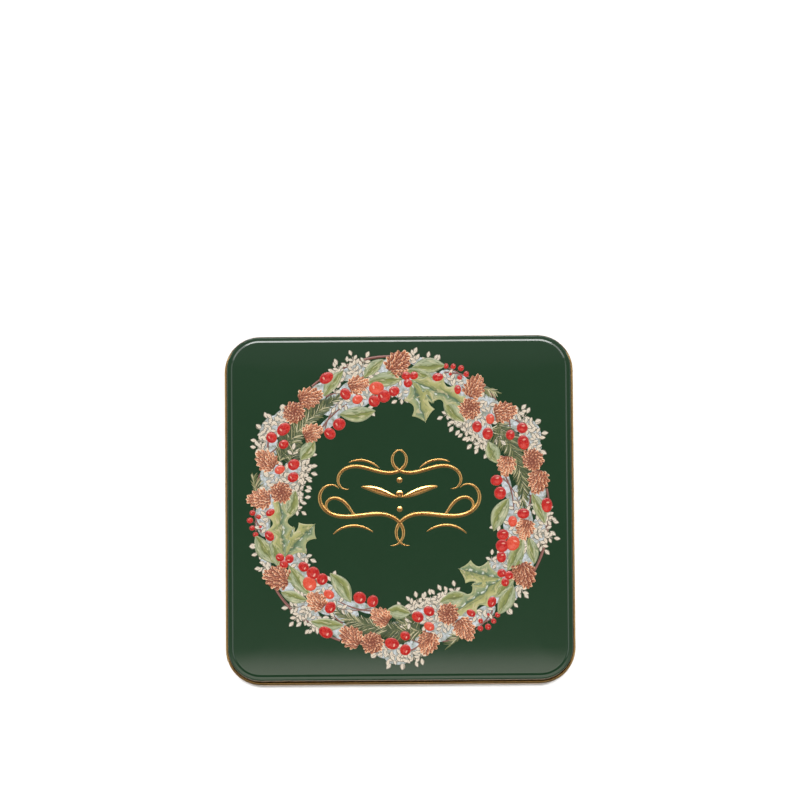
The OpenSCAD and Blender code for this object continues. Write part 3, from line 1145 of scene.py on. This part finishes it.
def sun_light(toward, strength, spread):
    """The key light: parallel, slightly soft, and kept out of reflections."""
    data = bpy.data.lights.new("key", "SUN")
    data.energy = strength
    data.angle = math.radians(spread)
    light = add_object("key", data)
    aim(light, toward)
    light.visible_glossy = False


# Light from the studio's walls, from straight below (0) to straight above (1): (height, level)
WORLD_LIGHT = ((0.0, 0.8), (0.5, 0.7), (0.65, 0.42), (0.875, 0.25), (0.985, 0.2), (1.0, 0.14))


def make_world():
    """A studio that is dim overhead, lighter low down, and seen by the camera as plain white."""
    world = bpy.data.worlds.new("studio")
    bpy.context.scene.world = world
    world.use_nodes = True
    nodes = Nodes(world.node_tree)
    direction = nodes.node("ShaderNodeTexCoord").outputs["Generated"]
    parts = nodes.node("ShaderNodeSeparateXYZ", (direction,)).outputs
    stops = [(height, (level, level, level, 1)) for height, level in WORLD_LIGHT]
    lit = nodes.tree.nodes["Background"]
    nodes.feed(
        lit,
        color=nodes.ramp(nodes.remap(parts[2], -1, 1), *stops),
        strength=nodes.remap(nodes.math("ABSOLUTE", parts[1]), 0.3, 0.9, 1.0, 0.3),
    )
    seen = nodes.node("ShaderNodeBackground", ((1, 1, 1, 1),))
    by_camera = nodes.node("ShaderNodeLightPath").outputs["Is Camera Ray"]
    mix = nodes.node("ShaderNodeMixShader", (by_camera, lit.outputs[0], seen.outputs[0]))
    nodes.feed(nodes.tree.nodes["World Output"], surface=mix.outputs[0])


def make_floor():
    """A large plain white floor."""
    paint = Paint(
        "floor_white",
        base_color=(0.94, 0.94, 0.94, 1),
        roughness=0.9,
        emission_color=(1, 1, 1, 1),
        emission_strength=0.08,
    )
    far = 9.0
    mesh = bpy.data.meshes.new("floor")
    corners = [(-far, -far, 0), (far, -far, 0), (far, far, 0), (-far, far, 0)]
    mesh.from_pydata(corners, [], [(0, 1, 2, 3)])
    mesh.materials.append(paint.material)
    floor = add_object("floor", mesh)
    floor.visible_glossy = False


def make_studio():
    make_world()
    make_floor()
    sun_light(toward=(0, 0.012, -1), strength=2.75, spread=2.6)
    card("front_card", (0, -0.535, 2.6), (1.6, 0.9), 10.5, (0, -0.05, 0.06), (1.0, 0.94, 0.86))
    card("back_card", (0, 1.5, 1.3), (1.6, 0.45), 36)
    card("top_card", (0, 0.8, 2.6), (1.8, 0.9), 1.8)
    for side in (-1, 1):
        card("corner_card", (side * 1.06, 1.06, 1.3), (0.9, 0.45), 6)
        card("side_card", (side * 1.5, 0, 1.3), (1.2, 0.45), 2.6)
    bpy.context.scene.view_settings.view_transform = "Standard"


# ---- Everything together ----

def dress_cad_node(node, material):
    """Gives a CAD node a better material."""
    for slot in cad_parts[node].material_slots:
        slot.material = material


make_camera()
make_studio()
gold = gold_lacquer()
inside = inner_lacquer()
make_lid(green_print(), gold, inside)
wreath_layer(1, "wreath_wash", wash_print(), WASHES, wash)
wreath_layer(4, "wreath_fir_shade", fir_shade_print(), FIR_SHADES, fir_shade)
wreath_layer(2, "wreath_twigs", twig_print(), TWIGS, twig)
wreath_layer(3, "wreath_needles", needle_print(), SPRAYS, fir_spray)
wreath_layer(5, "wreath_leaves", leaf_print(), LEAVES, leaf)
wreath_layer(7, "wreath_sprigs", leaflet_print(), SPRIGS, sprig)
wreath_layer(6, "wreath_holly", holly_print(), HOLLY_LEAVES, holly_leaf)
make_cones(scale_print(), heart_print())
make_berries(berry_print())
make_scroll(scroll_gold_painted_reflection())
make_tray(tray_plastic())
make_liner(liner_paper())
dress_cad_node("body_wall", gold)
dress_cad_node("base_panel", base_lacquer())
